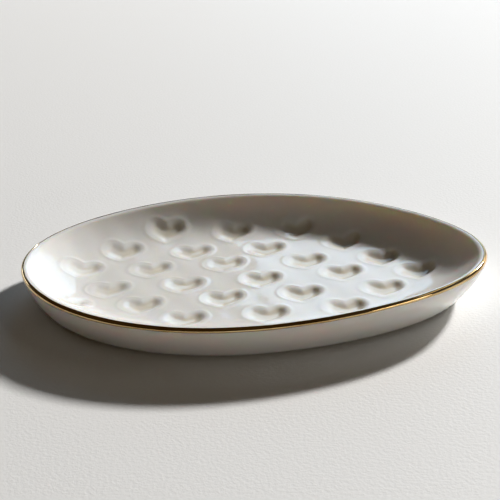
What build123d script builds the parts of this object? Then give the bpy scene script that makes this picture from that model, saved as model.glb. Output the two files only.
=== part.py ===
# Oval porcelain ring dish: a thin bowl with a rounded lip, rows of pressed hearts, and a band of fired-on gold.
# Millimetres. +X is the long axis, +Y the short axis, +Z is up, and the table is z = 0 under the middle.
from build123d import *
from math import atan2, ceil, cos, hypot, pi, radians, sin
import os

# Overall size, taken over the lip before its edges are rounded
dish_length = 100.0
dish_width = 70.0
dish_height = 9.4

# The outline is an ellipse whose radius waves a little: waves round the rim, with their cosine and sine shares
outline_wave_shares = {3: (0.015, 0.005), 4: (0.010, -0.008)}
trace_count = 720
ring_point_count = 20

# Outer wall: upright at the lip, it leans in towards a smaller foot that sits a little off the middle
foot_inset = 5.0
foot_shift = 1.6
wall_curve = 1.6
heel_round = 1.5
heel_step_count = 4
wall_step_count = 6

# Inside: the wall slopes from the lip to the flat floor, steepest at the lip, its height a power of the run left
lip_thickness = 1.2
floor_thickness = 3.0
wall_run = 16.0
wall_power = 2.5
inside_step_count = 9

# Both edges of the lip are rounded, by this share of its thickness
lip_round_share = 0.44

# Gold band, let in flush with the glaze: from the outer edge of the lip's crest out and down the outer wall
gold_thickness = 0.15
gold_inset = 0.4
gold_outside = 0.8

# Hearts pressed into the floor and the foot of the wall, in staggered rows
heart_width = 9.8
heart_height = 8.3
heart_depth = 0.8
heart_pitch = 16.6
row_pitch = heart_pitch / 2
row_turn = 8.3
pattern_x = 3.4
pattern_y = -0.3
heart_edge_inset = 6.0
halving_count = 40

# The hearts were pressed by hand: row and half step of each that slipped, with its slip as shares of the pitch
slip_shares = {
    (-3, -1): (0.00, -0.06),
    (-3, 1): (0.00, -0.06),
    (-2, -2): (0.02, -0.05),
    (-2, 0): (0.02, -0.01),
    (-2, 2): (-0.01, 0.07),
    (-1, -5): (0.05, -0.10),
    (-1, -3): (-0.05, -0.08),
    (-1, -1): (-0.02, -0.01),
    (-1, 1): (-0.04, 0.03),
    (-1, 3): (-0.02, 0.06),
    (0, -4): (-0.03, -0.07),
    (0, -2): (-0.06, -0.04),
    (0, 0): (-0.06, 0.01),
    (0, 2): (-0.01, 0.09),
    (0, 4): (-0.04, 0.01),
    (1, -5): (0.04, 0.07),
    (1, -3): (-0.03, 0.00),
    (1, -1): (-0.05, 0.05),
    (1, 1): (0.03, 0.02),
    (1, 3): (0.02, -0.01),
    (2, -4): (0.03, 0.10),
    (2, -2): (-0.01, 0.01),
    (2, 0): (-0.01, -0.02),
    (2, 2): (0.06, 0.05),
    (3, -3): (0.10, 0.09),
    (3, -1): (0.04, 0.02),
    (3, 1): (-0.08, -0.01),
}

# Row and half step of the place by the front left of the lip that has no heart
bare_places = {(-2, -4)}

# Heart outline as shares of its width and height, right half from the cleft round to the tip
cleft_share = 0.32
lobe_top_shares = (0.29, 0.50)
lobe_side_shares = (0.50, 0.17)
flank_shares = (0.35, -0.23)
tip_share = -0.50

# The heart stamp below the clay's surface: share of its depth, then share of its size there
stamp_shares = ((0.0, 1.0), (0.6, 0.82), (1.0, 0.5))

# The stamp leaned as it was pressed, by these degrees, and went deeper on its right side
stamp_lean = 4.0

# The stamp above the surface, where it flares to clear the rising wall
press_rise = 3.0
stamp_flare_share = 1.35

# How far cutting shapes run past the faces that they cut
overrun = 2.0

os.makedirs("parts", exist_ok=True)


def unit_point(angle):
    """Point of the waved unit circle at this angle."""
    radius = 1 + sum(
        along * cos(waves * angle) + across * sin(waves * angle)
        for waves, (along, across) in outline_wave_shares.items()
    )
    return radius * cos(angle), radius * sin(angle)


trace = [unit_point(2 * pi * step / trace_count) for step in range(trace_count)]
left, right = min(x for x, y in trace), max(x for x, y in trace)
front, back = min(y for x, y in trace), max(y for x, y in trace)


def outline_point(inset, angle):
    """Point of the rim outline moved in by inset; its extents stay centred on the origin."""
    x, y = unit_point(angle)
    x_share = (2 * x - left - right) / (right - left)
    y_share = (2 * y - front - back) / (back - front)
    return (dish_length / 2 - inset) * x_share, (dish_width / 2 - inset) * y_share


def ring_face(inset, shift, height, first=0):
    """Flat face bounded by the outline, inset and moved along -X by shift, at this height; it starts at a step."""
    points = []
    for step in range(first, first + ring_point_count):
        x, y = outline_point(inset, 2 * pi * step / ring_point_count)
        points.append((x - shift, y, height))
    return make_face(Spline(*points, periodic=True))


def lean_share(height):
    """How far the wall has leaned in at this height: 0 at the lip, 1 at the table."""
    return max(0, 1 - height / dish_height) ** wall_curve


def outer_solid(skin):
    """Solid of the outer form, less a skin: heel round first, then the curved wall up to the lip."""
    top = dish_height - skin
    faces = []
    for step in range(heel_step_count):
        turn = pi / 2 * step / heel_step_count
        height = heel_round * (1 - cos(turn))
        inset = foot_inset * lean_share(height) + heel_round * (1 - sin(turn))
        faces.append(ring_face(inset + skin, foot_shift * lean_share(height), height))
    for step in range(wall_step_count + 1):
        height = heel_round + (top - heel_round) * step / wall_step_count
        faces.append(ring_face(foot_inset * lean_share(height) + skin, foot_shift * lean_share(height), height))
    return loft(faces)


def wall_height(run_share):
    """Height of the inside wall from the lip (share 0) to the floor (share 1): a power of what is left of its run."""
    return floor_thickness + (dish_height - floor_thickness) * (1 - run_share) ** wall_power


def inside_solid(skin):
    """Solid of the hollow, grown by a skin; its wall is carried on upwards past the lip."""
    faces = []
    for step in range(-1, inside_step_count + 1):
        run_share = step / inside_step_count
        faces.append(ring_face(lip_thickness + wall_run * run_share - skin, 0, wall_height(run_share)))
    return loft(faces)


def bowl(skin):
    """The plain dish with its rounded lip, thinned by a skin on every face of the lip."""
    shell = outer_solid(skin) - inside_solid(skin)
    lip_face = shell.faces().sort_by(Axis.Z)[-1]
    return fillet(lip_face.edges(), lip_round_share * lip_thickness - skin)


def is_inside(x, y, inset):
    """Whether a point lies inside the outline moved in by this inset."""
    unit_x = (x / (dish_length / 2 - inset) * (right - left) + left + right) / 2
    unit_y = (y / (dish_width / 2 - inset) * (back - front) + front + back) / 2
    return hypot(unit_x, unit_y) < hypot(*unit_point(atan2(unit_y, unit_x)))


def inset_at(x, y):
    """How far in from the rim outline a point lies, found by halving; 0 on the rim or outside it."""
    low, high = 0.0, dish_width / 2
    for _ in range(halving_count):
        middle = (low + high) / 2
        if is_inside(x, y, middle):
            low = middle
        else:
            high = middle
    return low


def floor_height(x, y):
    """Height of the plain inside surface over a point, from the inside wall's section."""
    return wall_height(min(1, max(0, (inset_at(x, y) - lip_thickness) / wall_run)))


def heart_face(size_share):
    """Flat heart of two lobes and two flanks, each side one lobe arc and one flank arc."""
    width, height = heart_width * size_share, heart_height * size_share
    cleft = (0, cleft_share * height)
    tip = (0, tip_share * height)
    edges = []
    for side in (1, -1):
        lobe_top = (side * lobe_top_shares[0] * width, lobe_top_shares[1] * height)
        lobe_side = (side * lobe_side_shares[0] * width, lobe_side_shares[1] * height)
        flank = (side * flank_shares[0] * width, flank_shares[1] * height)
        edges.append(ThreePointArc(cleft, lobe_top, lobe_side))
        edges.append(ThreePointArc(lobe_side, flank, tip))
    return make_face(edges)


def stamp(x, y):
    """Heart stamp pressed into the inside surface at a point, leaning to its right and tapering to its nose."""
    reach = heart_height / 2
    slope_x = (floor_height(x + reach, y) - floor_height(x - reach, y)) / (2 * reach)
    slope_y = (floor_height(x, y + reach) - floor_height(x, y - reach)) / (2 * reach)
    turn = radians(row_turn)
    bed = Plane((x, y, floor_height(x, y)), x_dir=(cos(turn), sin(turn), 0), z_dir=(-slope_x, -slope_y, 1))
    lean = Rot(0, stamp_lean, 0)
    sections = [bed * lean * Pos(0, 0, press_rise) * heart_face(stamp_flare_share)]
    for depth_share, size_share in stamp_shares:
        sections.append(bed * lean * Pos(0, 0, -heart_depth * depth_share) * heart_face(size_share))
    return loft(sections, ruled=True)


def pattern_point(along, across):
    """Point this far along and across the rows from the pattern's middle."""
    turn = radians(row_turn)
    x = pattern_x + along * cos(turn) - across * sin(turn)
    y = pattern_y + along * sin(turn) + across * cos(turn)
    return x, y


def heart_places():
    """Centres of the staggered hearts whose even places lie far enough in from the rim, each with its slip."""
    places = []
    pattern_reach = ceil(dish_length / heart_pitch)
    for row in range(-pattern_reach, pattern_reach + 1):
        for half_step in range(-2 * pattern_reach, 2 * pattern_reach + 1):
            if (row + half_step) % 2 or (row, half_step) in bare_places:
                continue
            along, across = half_step * heart_pitch / 2, row * row_pitch
            if inset_at(*pattern_point(along, across)) > heart_edge_inset:
                slip_along, slip_across = slip_shares.get((row, half_step), (0, 0))
                places.append(pattern_point(along + slip_along * heart_pitch, across + slip_across * heart_pitch))
    return places


def gold_groove():
    """Space of the gold band: around the lip's skin, between the band's inner edge and its lower one."""
    lower_edge = dish_height - gold_outside
    first = ring_point_count // 4
    slab = extrude(ring_face(-overrun, 0, lower_edge, first), gold_outside + overrun)
    inner = extrude(ring_face(gold_inset, 0, lower_edge, first), gold_outside + overrun)
    return slab - inner - bowl(gold_thickness)


places = heart_places()
plain_dish = bowl(0)
groove = gold_groove()
gold_rim = plain_dish & groove
dish_body = plain_dish - groove - [stamp(x, y) for x, y in places]

print("hearts:", len(places))
export_step(dish_body, "parts/dish_body.step")
export_step(gold_rim, "parts/gold_rim.step")
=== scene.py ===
import bpy
import numpy as np
from mathutils import Matrix, Vector


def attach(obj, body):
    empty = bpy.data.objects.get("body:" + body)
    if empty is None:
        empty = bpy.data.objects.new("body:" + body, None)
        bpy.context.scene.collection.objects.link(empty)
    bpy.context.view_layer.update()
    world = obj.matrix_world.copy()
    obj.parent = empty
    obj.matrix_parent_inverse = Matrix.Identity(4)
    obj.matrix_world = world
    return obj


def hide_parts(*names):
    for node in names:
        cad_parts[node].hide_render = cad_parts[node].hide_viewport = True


# One millimetre in metres
MM = 0.001

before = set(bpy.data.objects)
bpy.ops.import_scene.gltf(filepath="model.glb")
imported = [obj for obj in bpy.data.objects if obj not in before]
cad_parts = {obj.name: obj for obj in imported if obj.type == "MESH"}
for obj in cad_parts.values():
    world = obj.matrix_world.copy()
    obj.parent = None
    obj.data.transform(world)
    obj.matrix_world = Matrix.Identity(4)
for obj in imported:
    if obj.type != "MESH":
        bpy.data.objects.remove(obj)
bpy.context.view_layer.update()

# Overall size over the lip
dish_length = 100.0
dish_width = 70.0
dish_height = 9.4

# Waves of the outline's radius: waves round the rim, with their cosine and sine shares,
# and the steps that trace it to find its reach
outline_wave_shares = {3: (0.015, 0.005), 4: (0.010, -0.008)}
outline_trace_count = 1441

# The hand-cut lip dips and rises: how far its mean lies below full height,
# and its waves round the rim with their cosine and sine heights
lip_sink = 0.49
lip_waves = {1: (0.50, 0.08), 2: (-0.15, -0.09), 3: (0.10, -0.20)}

# Faint swells of the hand-smoothed inside: height, how far below the lip they reach it in full,
# and the wavelength and direction in degrees of each
swell_height = 0.022
swell_fade = 4.0
swells = ((23.0, 20.0), (17.0, 75.0), (13.0, 130.0), (9.5, 165.0), (7.0, 40.0))

# Outer wall: how far it leans in to the foot, how far the foot sits off the middle,
# the power that curves the wall, and the radius of the round heel
foot_inset = 5.0
foot_shift = 1.6
wall_curve = 1.6
heel_round = 1.5

# Inside wall: it runs from the lip to the flat floor, and its height is a power of the run left
lip_thickness = 1.4
floor_thickness = 3.0
wall_run = 16.0
wall_power = 2.5

# Lip: radius of its broad inner round, height of its outer round,
# and the steps that trace the inside wall to find where the inner round joins it
lip_inner_round = 1.8
lip_round = 0.75
join_trace_count = 4001

# Rings and columns of the body's mesh
column_count = 560
floor_ring_count = 76
inside_ring_count = 52
lip_ring_count = 8
outside_ring_count = 16
heel_ring_count = 5
foot_ring_count = 6

# Rows of hearts: distance between hearts in a row, turn of the rows in degrees, the pattern's middle,
# and how far in from the rim an even place lies if it has a heart
heart_pitch = 16.6
row_turn = 8.3
pattern_x = 3.4
pattern_y = -0.3
heart_edge_inset = 6.0

# Search for how far in a point lies: times that the range is halved, and how near the middle it goes
halving_count = 30
middle_gap = 0.001

# Row and half step of each heart that slipped as it was pressed, with its slip as shares of the pitch
slip_shares = {
    (-3, -1): (0.00, -0.06),
    (-3, 1): (0.00, -0.06),
    (-2, -2): (0.02, -0.05),
    (-2, 0): (0.02, -0.01),
    (-2, 2): (-0.01, 0.07),
    (-1, -5): (0.05, -0.10),
    (-1, -3): (-0.05, -0.08),
    (-1, -1): (-0.02, -0.01),
    (-1, 1): (-0.04, 0.03),
    (-1, 3): (-0.02, 0.06),
    (0, -4): (-0.03, -0.07),
    (0, -2): (-0.06, -0.04),
    (0, 0): (-0.06, 0.01),
    (0, 2): (-0.01, 0.09),
    (0, 4): (-0.04, 0.01),
    (1, -5): (0.04, 0.07),
    (1, -3): (-0.03, 0.00),
    (1, -1): (-0.05, 0.05),
    (1, 1): (0.03, 0.02),
    (1, 3): (0.02, -0.01),
    (2, -4): (0.03, 0.10),
    (2, -2): (-0.01, 0.01),
    (2, 0): (-0.01, -0.02),
    (2, 2): (0.06, 0.05),
    (3, -3): (0.10, 0.09),
    (3, -1): (0.04, 0.02),
    (3, 1): (-0.08, -0.01),
}

# Row and half step of the place by the front left of the lip that has no heart
bare_places = {(-2, -4)}

# Heart curve: width, height, the power of its sine, the sizes of its four cosines, the second of which
# sets how deep the cleft is, and the steps that trace it
heart_width = 8.5
heart_height = 7.0
heart_fullness = 1.7
heart_cosines = (13.0, -3.2, -2.0, -1.0)
heart_trace_count = 160

# How deep a heart is pressed, the share of it added at the dish's right end and taken off at its left,
# and the shares added at the heart's own right edge and top edge
heart_depth = 0.49
heart_drift_share = 0.50
heart_lean_shares = (0.66, -0.05)

# The press across the heart curve: how far outside the curve it starts, how far inside it is full,
# and the height, place and width of the low ridge of clay around it
press_outside = 0.35
press_inside = 2.0
press_ridge = 0.05
press_ridge_place = -0.8
press_ridge_width = 0.4

# Gold band: how far over the lip's crest and down its outside it goes, how proud its film is,
# the power that thins the film at its edges, how deep its back is sunk, and its rings
gold_inside = 0.08
gold_outside = 1.2
gold_film = 0.05
film_edge_power = 6
gold_root = 0.08
gold_ring_count = 17

# Wavering of the brushed edges: waves round the rim, their size, and the seed of their phases
brush_waves = (3, 7, 12, 19, 31, 47)
brush_wobble = 0.09
brush_seed = 3

# How unevenly the stamp was set down: turn in degrees and depth share, both one way or the other
stamp_turn = 2.5
stamp_depth_share = 0.12
stamp_seed = 7

# Glazed porcelain: colours of the glaze, where it runs clear and where it pools in the pressed hearts, there
# also darkened as painted shade, with the shares of a heart's depth between which that tint starts and is
# full
glaze_white = (0.825, 0.82, 0.795)
glaze_cool = (0.815, 0.815, 0.80)
# Tint of glaze that pools in the hearts, darkened further as painted shade of the pits
pooled_glaze_and_painted_shade = (0.70, 0.66, 0.57)
pool_and_shade_shares = (0.1, 0.9)
glaze_refraction = 1.52

# Bare clay under the foot: colour, roughness, and the heights between which the glaze starts
bisque = (0.74, 0.69, 0.60)
bisque_roughness = 0.75
bisque_edge = (0.35, 0.70)

# Light's wander in the clay: its share, its distance, and the shares of that for red, green and blue
wander_weight = 0.45
light_wander = 2.2
wander_shares = (1.0, 0.74, 0.45)

# Unevenness of the glaze: least and most roughness, size and detail of its clouds and of its dimpled skin,
# and the depth of that skin
gloss_range = (0.03, 0.07)
cloud_size = 22.0
cloud_detail = 2
peel_size = 2.2
peel_detail = 1
peel_height = 0.006

# Levels between which most of a noise lies, spread over the whole of what it drives
noise_levels = (0.3, 0.7)

# Gold lustre: colours of its patches with their size and detail, least and most roughness,
# and the length and width of the streaks that the brush left
gold_deep = (0.48, 0.29, 0.11)
gold_pale = (0.76, 0.57, 0.29)
patch_size = 9.0
patch_detail = 3
gold_gloss_range = (0.07, 0.17)
streak_length = 9.0
streak_width = 0.16

# Table: colours, size, detail and height of its grain, roughness, and reach in metres
floor_colour = (0.86, 0.86, 0.855)
floor_mottle = (0.83, 0.83, 0.825)
floor_grain = 0.7
floor_grain_detail = 3
floor_grain_height = 0.05
floor_roughness = 0.6
floor_reach = 6.0

# Light from all round: colours of its dark and bright sides, the bright side's azimuth in degrees,
# and the cosines to that side between which one turns into the other
world_dark = (0.032, 0.019, 0.005)
world_bright = (0.06, 0.06, 0.06)
world_azimuth = 30.0
world_levels = (0.0, 0.8)

# Lamps: name, azimuth from +X towards +Y and elevation in degrees, distance, width and height in metres,
# power in watts and colour
lamps = (
    ("key", 57.0, 27.0, 2.5, 0.225, 0.225, 102.0, (1.0, 0.98, 0.955)),
    ("window", 87.0, 20.0, 2.25, 1.05, 1.375, 6.9, (0.52, 0.76, 1.0)),
    ("low window", 140.0, 9.0, 2.25, 0.75, 0.30, 2.2, (0.85, 0.93, 1.0)),
    ("skylight", 20.0, 50.0, 2.25, 1.5, 0.30, 1.75, (1.0, 0.95, 0.84)),
    ("low right", -30.0, 7.0, 2.25, 1.0, 0.30, 4.3, (1.0, 0.95, 0.86)),
)

# Camera, measured from the photograph: place in the dish's frame, view angles in degrees,
# focal length over frame width, frame width, and nearest distance that it sees in metres
camera_place = (46.9, -235.2, 112.7)
view_azimuth = 11.15
view_elevation = 23.24
view_roll = -4.2
focal_share = 2.463
sensor_width = 36.0
near_clip = 0.01


def unit_circle(angle):
    """Waved unit circle: radius 1 plus small cosine and sine waves of the angle."""
    radius = np.ones_like(angle)
    for waves, (along, across) in outline_wave_shares.items():
        radius = radius + along * np.cos(waves * angle) + across * np.sin(waves * angle)
    return radius * np.cos(angle), radius * np.sin(angle)


trace_x, trace_y = unit_circle(np.linspace(0, 2 * np.pi, outline_trace_count))
middle_x, reach_x = (trace_x.max() + trace_x.min()) / 2, (trace_x.max() - trace_x.min()) / 2
middle_y, reach_y = (trace_y.max() + trace_y.min()) / 2, (trace_y.max() - trace_y.min()) / 2


def outline(angle):
    """The waved circle, centred and stretched so that it spans -1 to 1 both ways."""
    x, y = unit_circle(angle)
    return (x - middle_x) / reach_x, (y - middle_y) / reach_y


def lip_wave(angle):
    """Height of the lip above its full height: less its sink, plus the sum of its cosine and sine waves."""
    height = np.full_like(angle, -lip_sink)
    for waves, (along, across) in lip_waves.items():
        height = height + along * np.cos(waves * angle) + across * np.sin(waves * angle)
    return height


def lean_share(height):
    """How far the outer wall has leaned in: one minus height over dish height, to the power wall_curve."""
    return np.clip(1 - height / dish_height, 0, 1) ** wall_curve


def ring_grid(inset, shift, height, wave_share, angle):
    """Points of the outline's rings, each inset, shifted along -X and set at a height: rings, columns, 3."""
    x_share, y_share = outline(angle)
    x = (dish_length / 2 - inset)[:, None] * x_share - shift[:, None]
    y = (dish_width / 2 - inset)[:, None] * y_share
    z = height[:, None] + wave_share[:, None] * lip_wave(angle)
    return np.stack([x, y, z], axis=-1)


def inside_section(share):
    """Inside wall's section from the lip (share 0) to the floor (share 1), a power of the share left."""
    height = floor_thickness + (dish_height - floor_thickness) * (1 - share) ** wall_power
    return lip_thickness + wall_run * share, height


def lip_join():
    """Where the inside wall meets the lip's inner round: its share, its angle there and the crest's inset.

    It is the first point that lies as far below the crest as a round of the wall's own slope does.
    """
    share = np.linspace(0, 1, join_trace_count)
    inset, height = inside_section(share)
    slope = np.arctan(-np.gradient(height, inset))
    join = np.argmax(dish_height - height >= lip_inner_round * (1 - np.cos(slope)))
    return share[join], slope[join], inset[join] - lip_inner_round * np.sin(slope[join])


def lip_inner_section(turn, crest):
    """Lip's inner round: an arc that lies level at the crest (turn 0) and slopes by its turn."""
    return crest + lip_inner_round * np.sin(turn), dish_height - lip_inner_round * (1 - np.cos(turn))


def lip_outer_section(turn, crest):
    """Lip's outer round: a quarter ellipse from the crest (turn 0) to the outer wall (a right angle)."""
    outer = foot_inset * lean_share(dish_height - lip_round)
    return crest + (outer - crest) * np.sin(turn), dish_height - lip_round * (1 - np.cos(turn))


def outside_section(share):
    """Outer wall's section from the lip (share 0) down to the heel (share 1)."""
    height = dish_height - lip_round + share * (heel_round - dish_height + lip_round)
    return foot_inset * lean_share(height), height


def heel_section(turn):
    """Heel's section, a quarter round from the wall (turn 0) to the table (a right angle)."""
    height = heel_round * (1 - np.sin(turn))
    return foot_inset * lean_share(height) + heel_round * (1 - np.cos(turn)), height


def wave_shares(height):
    """Shares of the lip's wave at a height: on the inside, none at the floor; outside, none at the table."""
    return (height - floor_thickness) / (dish_height - floor_thickness), height / dish_height


def wall_rings():
    """Rings from the floor's edge up the inside wall, over the lip and down to the table.

    Gives inset, shift, height and wave share of each ring. Over the lip, the inside's wave share and shift
    turn into the outside's in even steps.
    """
    join_share, join_slope, crest = lip_join()
    inside_share = np.linspace(1, join_share, inside_ring_count)
    inner_turn = np.linspace(join_slope, 0, lip_ring_count + 1)[1:]
    outer_turn = np.linspace(0, np.pi / 2, lip_ring_count + 1)[1:]
    outside_share = np.linspace(0, 1, outside_ring_count + 1)[1:]
    heel_turn = np.linspace(0, np.pi / 2, heel_ring_count + 1)[1:]
    sections = [inside_section(inside_share), lip_inner_section(inner_turn, crest)]
    sections += [lip_outer_section(outer_turn, crest), outside_section(outside_share)]
    sections += [heel_section(heel_turn)]
    inset = np.concatenate([section[0] for section in sections])
    height = np.concatenate([section[1] for section in sections])
    below_count = outside_ring_count + heel_ring_count
    over_share = np.linspace(0, 1, 2 * lip_ring_count + 1)[1:]
    outer_share = np.concatenate([0 * inside_share, over_share, np.ones(below_count)])
    inside_wave, outside_wave = wave_shares(height)
    wave_share = inside_wave * (1 - outer_share) + outside_wave * outer_share
    return inset, foot_shift * lean_share(height) * outer_share, height, wave_share


def inset_at(x, y):
    """How far in from the rim points lie, by halving on whether each point is inside the inset outline."""
    low, high = np.zeros_like(x), np.full_like(x, dish_width / 2 - middle_gap)
    for _ in range(halving_count):
        inset = (low + high) / 2
        unit_x = x / (dish_length / 2 - inset) * reach_x + middle_x
        unit_y = y / (dish_width / 2 - inset) * reach_y + middle_y
        edge_x, edge_y = unit_circle(np.arctan2(unit_y, unit_x))
        inside = np.hypot(unit_x, unit_y) < np.hypot(edge_x, edge_y)
        low, high = np.where(inside, inset, low), np.where(inside, high, inset)
    return low


def floor_height(x, y):
    """Height of the plain inside surface, from the wall's section at that point's inset."""
    run_share = np.clip((inset_at(x, y) - lip_thickness) / wall_run, 0, 1)
    return inside_section(run_share)[1]


def pattern_points(along, across):
    """Points this far along and across the rows from the pattern's middle."""
    turn = np.radians(row_turn)
    x = pattern_x + along * np.cos(turn) - across * np.sin(turn)
    y = pattern_y + along * np.sin(turn) + across * np.cos(turn)
    return np.stack([x, y], axis=-1)


def heart_places():
    """Centres of the staggered hearts whose even places lie far enough in, each with its slip."""
    reach = int(np.ceil(dish_length / heart_pitch))
    places = []
    for row in range(-reach, reach + 1):
        for half_step in range(-2 * reach, 2 * reach + 1):
            if (row + half_step) % 2 or (row, half_step) in bare_places:
                continue
            even = np.array([half_step, row]) * heart_pitch / 2
            slip = np.array(slip_shares.get((row, half_step), (0, 0))) * heart_pitch
            if inset_at(*pattern_points(*even[:, None]).T) > heart_edge_inset:
                places.append(pattern_points(*(even + slip)))
    return places


def heart_outline():
    """Heart curve: x is a power of the sine, y a sum of four cosines, scaled to its width and height."""
    t = np.linspace(0, 2 * np.pi, heart_trace_count, endpoint=False)
    x = heart_width / 2 * np.sign(np.sin(t)) * np.abs(np.sin(t)) ** heart_fullness
    y = sum(size * np.cos(turns * t) for turns, size in enumerate(heart_cosines, start=1))
    y = (y - (y.max() + y.min()) / 2) / (y.max() - y.min()) * heart_height
    return x, y


def heart_distance(u, v):
    """Signed distance to the heart curve, positive inside it, for points in the heart's own plane."""
    x, y = heart_outline()
    start = np.stack([x, y], axis=-1)
    side = np.roll(start, -1, axis=0) - start
    offset = np.stack([u, v], axis=-1)[:, None, :] - start
    share = np.clip((offset * side).sum(-1) / (side**2).sum(-1), 0, 1)
    distance = np.hypot(*np.moveaxis(offset - share[..., None] * side, -1, 0)).min(axis=1)
    crosses = (start[:, 1] > v[:, None]) != (np.roll(start, -1, axis=0)[:, 1] > v[:, None])
    with np.errstate(divide="ignore", invalid="ignore"):
        crossing = start[:, 0] + (v[:, None] - start[:, 1]) / side[:, 1] * side[:, 0]
    inside = (crosses & (u[:, None] < crossing)).sum(axis=1) % 2 == 1
    return np.where(inside, distance, -distance)


def smooth_step(share):
    """0 to 1 with level ends: 3 s^2 - 2 s^3."""
    s = np.clip(share, 0, 1)
    return s**2 * (3 - 2 * s)


def press_hearts(points):
    """How deep each point is pressed: a smooth step of its distance into each heart, less a low ridge."""
    dice = np.random.default_rng(stamp_seed)
    pressed = np.zeros(len(points))
    for x, y in heart_places():
        turn_share, depth_share = dice.uniform(-1, 1, 2)
        turn = np.radians(row_turn + stamp_turn * turn_share)
        reach = heart_height / 2
        height = floor_height(x + reach * np.array([0, 1, -1, 0, 0]), y + reach * np.array([0, 0, 0, 1, -1]))
        normal = np.array([height[2] - height[1], height[4] - height[3], 2 * reach])
        normal = normal / np.linalg.norm(normal)
        across = np.array([np.cos(turn), np.sin(turn), 0.0])
        across = across - across @ normal * normal
        across = across / np.linalg.norm(across)
        along = np.cross(normal, across)
        offset = points - np.array([x, y, height[0]])
        u, v = offset @ across, offset @ along
        near = np.hypot(u, v) < heart_width
        distance = heart_distance(u[near], v[near])
        step = smooth_step((distance + press_outside) / (press_outside + press_inside))
        lean = 1 + heart_lean_shares[0] * u[near] / (heart_width / 2)
        lean = lean + heart_lean_shares[1] * v[near] / (heart_height / 2)
        ridge = np.exp(-(((distance - press_ridge_place) / press_ridge_width) ** 2))
        depth = heart_depth * (1 + heart_drift_share * x / (dish_length / 2))
        pressed[near] += depth * (lean + stamp_depth_share * depth_share) * step - press_ridge * ridge
    return pressed


def swell(points):
    """Faint swell of the inside: a sum of sine waves, each along its own direction, also its phase."""
    height = np.zeros(len(points))
    for wavelength, direction in swells:
        place = points[:, 0] * np.cos(np.radians(direction)) + points[:, 1] * np.sin(np.radians(direction))
        height = height + swell_height * np.sin(2 * np.pi * place / wavelength + direction)
    return height


def grid_normals(grid, across):
    """Unit normals of a closed-round grid, from its differences across the rings and along them."""
    along = np.roll(grid, -1, axis=1) - np.roll(grid, 1, axis=1)
    normal = np.cross(across, along)
    return normal / np.linalg.norm(normal, axis=-1, keepdims=True)


def grid_faces(ring_count):
    """Quads between neighbouring rings of a grid that is closed round its columns."""
    ring, column = np.meshgrid(np.arange(ring_count - 1), np.arange(column_count), indexing="ij")
    here = ring * column_count + column
    beside = ring * column_count + (column + 1) % column_count
    return np.stack([here, here + column_count, beside + column_count, beside], axis=-1).reshape(-1, 4)


def make_piece(name, points, *face_arrays):
    """Smooth-shaded mesh object from points in millimetres and arrays of faces."""
    mesh = bpy.data.meshes.new(name)
    faces = [face for face_array in face_arrays for face in face_array.tolist()]
    mesh.from_pydata((points * MM).tolist(), [], faces)
    mesh.polygons.foreach_set("use_smooth", np.ones(len(mesh.polygons), dtype=bool))
    mesh.update()
    piece = bpy.data.objects.new(name, mesh)
    bpy.context.scene.collection.objects.link(piece)
    return piece


def build_body():
    """Closed body: rings from the floor's middle up the inside, over the lip, and down under the foot.

    The inside is moved along its normals by the pressed hearts and the swells. The share to which each point
    is pressed is kept as a point attribute that tints the hearts with pooling glaze and painted shade, and a
    fan of triangles closes each end.
    """
    angle = np.linspace(0, 2 * np.pi, column_count, endpoint=False)
    walls = ring_grid(*wall_rings(), angle)
    scale = np.linspace(0, 1, floor_ring_count + 1)[1:-1]
    floor = walls[0] * np.stack([scale, scale, np.ones_like(scale)], axis=-1)[:, None, :]
    scale = np.linspace(1, 0, foot_ring_count + 1)[1:-1]
    foot_middle = np.array([-foot_shift, 0, 0])
    foot = foot_middle + (walls[-1] - foot_middle) * scale[:, None, None]
    floor_middle = np.array([0, 0, floor_thickness])

    grid = np.concatenate([floor, walls, foot])
    ends = [np.broadcast_to(middle, grid[:1].shape) for middle in (floor_middle, foot_middle)]
    padded = np.concatenate([ends[0], grid, ends[1]])
    normal = grid_normals(grid, padded[2:] - padded[:-2])
    inside_count = len(floor) + inside_ring_count
    inside = np.concatenate([floor_middle[None], grid[:inside_count].reshape(-1, 3)])
    below_lip = smooth_step((dish_height - inside[:, 2]) / swell_fade)
    pressed = press_hearts(inside)
    sunk = pressed - swell(inside) * below_lip
    floor_middle = floor_middle - np.array([0, 0, sunk[0]])
    grid[:inside_count] -= normal[:inside_count] * sunk[1:].reshape(inside_count, -1, 1)

    points = np.concatenate([grid.reshape(-1, 3), floor_middle[None], foot_middle[None]])
    column = np.arange(column_count)
    beside = (column + 1) % column_count
    last = (len(grid) - 1) * column_count
    floor_fan = np.stack([np.full(column_count, len(points) - 2), column, beside], axis=-1)
    foot_fan = np.stack([np.full(column_count, len(points) - 1), last + beside, last + column], axis=-1)
    quads = grid_faces(len(grid))
    piece = make_piece("porcelain_body", points, quads, floor_fan, foot_fan)
    # Pressed share per point: it tints the hearts with pooling glaze and with painted shade in the pits
    share = np.zeros(len(points))
    share[: inside_count * column_count] = pressed[1:] / heart_depth
    share[-2] = pressed[0] / heart_depth
    pool_and_shade = piece.data.attributes.new("glaze_pool_and_shade", "FLOAT", "POINT")
    pool_and_shade.data.foreach_set("value", share.astype(np.float32))
    return piece


def painted_edge(angle, reach, seed):
    """How far the brush went from the lip's crest: a mean reach with waves of random phase, fine ones low."""
    dice = np.random.default_rng(seed)
    wobble = np.zeros_like(angle)
    for waves in brush_waves:
        wobble = wobble + np.cos(waves * angle + dice.uniform(0, 2 * np.pi)) / np.sqrt(waves)
    return reach + brush_wobble * wobble


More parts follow.
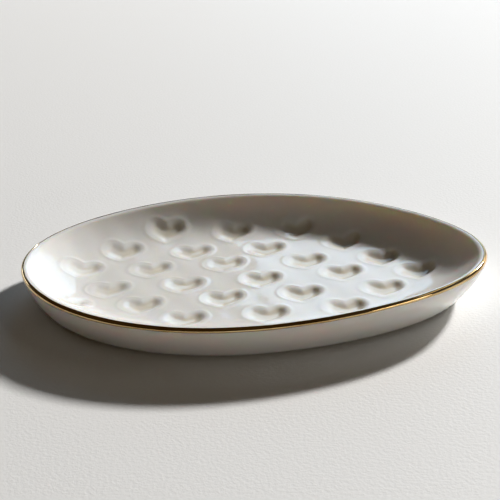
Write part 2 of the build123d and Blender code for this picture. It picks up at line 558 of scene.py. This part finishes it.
def build_gold():
    """Closed thin band over the lip: a grid between the two painted edges, its skin proud, its back sunk.

    The grid follows the body's own section by its length from the crest. One more ring of quads, whose points
    are the first ring's again, closes the section. The brush map runs along the lip and across it.
    """
    angle = np.linspace(0, 2 * np.pi, column_count, endpoint=False)
    rings = np.stack(wall_rings())
    top = np.argmax(rings[2])
    length = np.concatenate([[0], np.cumsum(np.hypot(*np.diff(rings[[0, 2]], axis=1)))])
    length = length - length[top]
    inner_place = -painted_edge(angle, gold_inside, brush_seed)
    outer_place = painted_edge(angle, gold_outside, brush_seed + 1)
    share = np.linspace(0, 1, gold_ring_count)[:, None]
    place = inner_place * (1 - share) + outer_place * share
    inset, shift, height, wave_share = [np.interp(place, length, row) for row in rings]
    x_share, y_share = outline(angle)
    x = (dish_length / 2 - inset) * x_share - shift
    y = (dish_width / 2 - inset) * y_share
    grid = np.stack([x, y, height + wave_share * lip_wave(angle)], axis=-1)
    normal = grid_normals(grid, np.gradient(grid, axis=0))
    film = gold_film * (1 - (2 * share - 1) ** film_edge_power)[..., None]
    skin = grid + normal * film
    root = grid - normal * gold_root
    points = np.concatenate([skin, root[::-1]])
    quads = grid_faces(len(points) + 1) % (len(points) * column_count)
    gold_width = (outer_place - inner_place).mean()
    gold_round = np.hypot(*(grid[0] - np.roll(grid[0], 1, axis=0)).T[:2]).sum()
    piece = make_piece("gold_band", points.reshape(-1, 3), quads)
    across_place = np.concatenate([share[:, 0], share[::-1, 0], share[:1, 0]]) * gold_width
    along_place = np.arange(column_count + 1) / column_count * gold_round
    ring, column = np.meshgrid(np.arange(len(points)), np.arange(column_count), indexing="ij")
    corner_ring = np.stack([ring, ring + 1, ring + 1, ring], axis=-1)
    corner_column = np.stack([column, column, column + 1, column + 1], axis=-1)
    uv = np.stack([along_place[corner_column], across_place[corner_ring]], axis=-1)
    layer = piece.data.uv_layers.new(name="brush")
    layer.data.foreach_set("uv", uv.ravel().astype(np.float32))
    return piece


def mix_colours(nodes, links, factor, first, second):
    """Mix of two colours by a factor socket; each colour is three numbers or a socket."""
    mix = nodes.new("ShaderNodeMix")
    mix.data_type = "RGBA"
    links.new(factor, mix.inputs["Factor"])
    for name, colour in (("A", first), ("B", second)):
        if isinstance(colour, bpy.types.NodeSocket):
            links.new(colour, mix.inputs[name])
        else:
            mix.inputs[name].default_value = (*colour, 1)
    return mix.outputs["Result"]


def map_range(nodes, links, value, levels, results=(0.0, 1.0)):
    """Value mapped from between two levels to between two results, with smooth ends."""
    node = nodes.new("ShaderNodeMapRange")
    node.interpolation_type = "SMOOTHSTEP"
    links.new(value, node.inputs["Value"])
    node.inputs["From Min"].default_value, node.inputs["From Max"].default_value = levels
    node.inputs["To Min"].default_value, node.inputs["To Max"].default_value = results
    return node.outputs["Result"]


def noise(nodes, links, place, size, detail):
    """Noise of a pattern size in millimetres, at a place socket in metres."""
    node = nodes.new("ShaderNodeTexNoise")
    links.new(place, node.inputs["Vector"])
    node.inputs["Scale"].default_value = 1 / (size * MM)
    node.inputs["Detail"].default_value = detail
    return node.outputs["Fac"]


def bump(nodes, links, height, distance):
    """Bump normal of a height socket from 0 to 1, for a full distance in millimetres."""
    node = nodes.new("ShaderNodeBump")
    links.new(height, node.inputs["Height"])
    node.inputs["Distance"].default_value = distance * MM
    return node.outputs["Normal"]


def new_material(name):
    """New node material, with its nodes, links and main shader."""
    material = bpy.data.materials.new(name)
    material.use_nodes = True
    nodes = material.node_tree.nodes
    return material, nodes, material.node_tree.links, nodes["Principled BSDF"]


def glazed_porcelain():
    """White porcelain under clear glaze: glaze pools and painted shade darken the pressed hearts, and the
    foot's face is wiped bare.
    """
    material, nodes, links, shader = new_material("glazed_porcelain")
    place = nodes.new("ShaderNodeTexCoord").outputs["Object"]
    pool_and_shade = nodes.new("ShaderNodeAttribute")
    pool_and_shade.attribute_name = "glaze_pool_and_shade"
    clouds = noise(nodes, links, place, cloud_size, cloud_detail)
    white = mix_colours(nodes, links, clouds, glaze_white, glaze_cool)
    # Pressed hearts take the tint of glaze that pools there, darkened further as painted shade
    pool_and_shade_share = map_range(nodes, links, pool_and_shade.outputs["Fac"], pool_and_shade_shares)
    glaze = mix_colours(nodes, links, pool_and_shade_share, white, pooled_glaze_and_painted_shade)
    split = nodes.new("ShaderNodeSeparateXYZ")
    links.new(place, split.inputs["Vector"])
    glazed = map_range(nodes, links, split.outputs["Z"], [height * MM for height in bisque_edge])
    links.new(mix_colours(nodes, links, glazed, bisque, glaze), shader.inputs["Base Color"])
    gloss = map_range(nodes, links, clouds, noise_levels, gloss_range)
    roughness = nodes.new("ShaderNodeMix")
    links.new(glazed, roughness.inputs["Factor"])
    roughness.inputs["A"].default_value = bisque_roughness
    links.new(gloss, roughness.inputs["B"])
    links.new(roughness.outputs["Result"], shader.inputs["Roughness"])
    peel = noise(nodes, links, place, peel_size, peel_detail)
    links.new(bump(nodes, links, peel, peel_height), shader.inputs["Normal"])
    shader.inputs["IOR"].default_value = glaze_refraction
    shader.inputs["Subsurface Weight"].default_value = wander_weight
    shader.inputs["Subsurface Radius"].default_value = wander_shares
    shader.inputs["Subsurface Scale"].default_value = light_wander * MM
    return material


def gold_lustre():
    """Fired gold lustre: deeper and paler patches, and fine streaks along the brush's way round the lip."""
    material, nodes, links, shader = new_material("gold_lustre")
    place = nodes.new("ShaderNodeTexCoord").outputs["Object"]
    patches = map_range(nodes, links, noise(nodes, links, place, patch_size, patch_detail), noise_levels)
    links.new(mix_colours(nodes, links, patches, gold_deep, gold_pale), shader.inputs["Base Color"])
    brush = nodes.new("ShaderNodeUVMap")
    brush.uv_map = "brush"
    drawn = nodes.new("ShaderNodeMapping")
    links.new(brush.outputs["UV"], drawn.inputs["Vector"])
    drawn.inputs["Scale"].default_value = (1 / streak_length, 1 / streak_width, 1)
    streaks = nodes.new("ShaderNodeTexNoise")
    links.new(drawn.outputs["Vector"], streaks.inputs["Vector"])
    streaks.inputs["Scale"].default_value = 1.0
    gloss = map_range(nodes, links, streaks.outputs["Fac"], noise_levels, gold_gloss_range)
    links.new(gloss, shader.inputs["Roughness"])
    shader.inputs["Metallic"].default_value = 1.0
    return material


def finish_piece(piece, material, node):
    """Gives a piece its material, hides the imported part of the node that it stands for, and puts it on its
    body.
    """
    piece.data.materials.append(material)
    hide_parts(node)
    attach(piece, "root")


finish_piece(build_body(), glazed_porcelain(), "dish_body")
finish_piece(build_gold(), gold_lustre(), "gold_rim")


def add_camera():
    """Camera at its measured place: turned to its azimuth, tipped down by its elevation, then rolled."""
    camera = bpy.data.objects.new("camera", bpy.data.cameras.new("camera"))
    bpy.context.scene.collection.objects.link(camera)
    bpy.context.scene.camera = camera
    camera.data.sensor_width = sensor_width
    camera.data.lens = sensor_width * focal_share
    camera.data.clip_start = near_clip
    turn = Matrix.Rotation(np.radians(view_azimuth), 4, "Z")
    tip = Matrix.Rotation(np.radians(90 - view_elevation), 4, "X")
    roll = Matrix.Rotation(np.radians(view_roll), 4, "Z")
    camera.matrix_world = Matrix.Translation(Vector(camera_place) * MM) @ turn @ tip @ roll


def add_area_light(name, azimuth, elevation, distance, width, height, power, colour):
    """Flat lamp that faces the dish from an azimuth (from +X towards +Y) and elevation."""
    lamp = bpy.data.lights.new(name, "AREA")
    lamp.shape = "RECTANGLE"
    lamp.size = width
    lamp.size_y = height
    lamp.energy = power
    lamp.color = colour
    holder = bpy.data.objects.new(name, lamp)
    bpy.context.scene.collection.objects.link(holder)
    side, up = np.radians(azimuth), np.radians(elevation)
    direction = Vector((np.cos(up) * np.cos(side), np.cos(up) * np.sin(side), np.sin(up)))
    holder.location = direction * distance
    holder.rotation_euler = direction.to_track_quat("Z", "Y").to_euler()


def add_floor():
    """Pale table with a fine grain, wide enough to fill every view."""
    mesh = bpy.data.meshes.new("table")
    corners = [(-floor_reach, -floor_reach, 0), (floor_reach, -floor_reach, 0)]
    corners += [(floor_reach, floor_reach, 0), (-floor_reach, floor_reach, 0)]
    mesh.from_pydata(corners, [], [(0, 1, 2, 3)])
    floor = bpy.data.objects.new("table", mesh)
    bpy.context.scene.collection.objects.link(floor)
    material, nodes, links, shader = new_material("pale_table")
    place = nodes.new("ShaderNodeTexCoord").outputs["Object"]
    grain = noise(nodes, links, place, floor_grain, floor_grain_detail)
    links.new(mix_colours(nodes, links, grain, floor_colour, floor_mottle), shader.inputs["Base Color"])
    links.new(bump(nodes, links, grain, floor_grain_height), shader.inputs["Normal"])
    shader.inputs["Roughness"].default_value = floor_roughness
    mesh.materials.append(material)


def set_world():
    """Soft light from all round, warm and dim, but brighter and neutral on the side of world_azimuth."""
    world = bpy.data.worlds.new("studio")
    bpy.context.scene.world = world
    world.use_nodes = True
    nodes, links = world.node_tree.nodes, world.node_tree.links
    towards = nodes.new("ShaderNodeVectorMath")
    towards.operation = "DOT_PRODUCT"
    links.new(nodes.new("ShaderNodeTexCoord").outputs["Generated"], towards.inputs[0])
    turn = np.radians(world_azimuth)
    towards.inputs[1].default_value = (np.cos(turn), np.sin(turn), 0)
    side = map_range(nodes, links, towards.outputs["Value"], world_levels)
    links.new(mix_colours(nodes, links, side, world_dark, world_bright), nodes["Background"].inputs["Color"])


add_camera()
add_floor()
set_world()
for lamp in lamps:
    add_area_light(*lamp)
bpy.context.scene.view_settings.view_transform = "Standard"
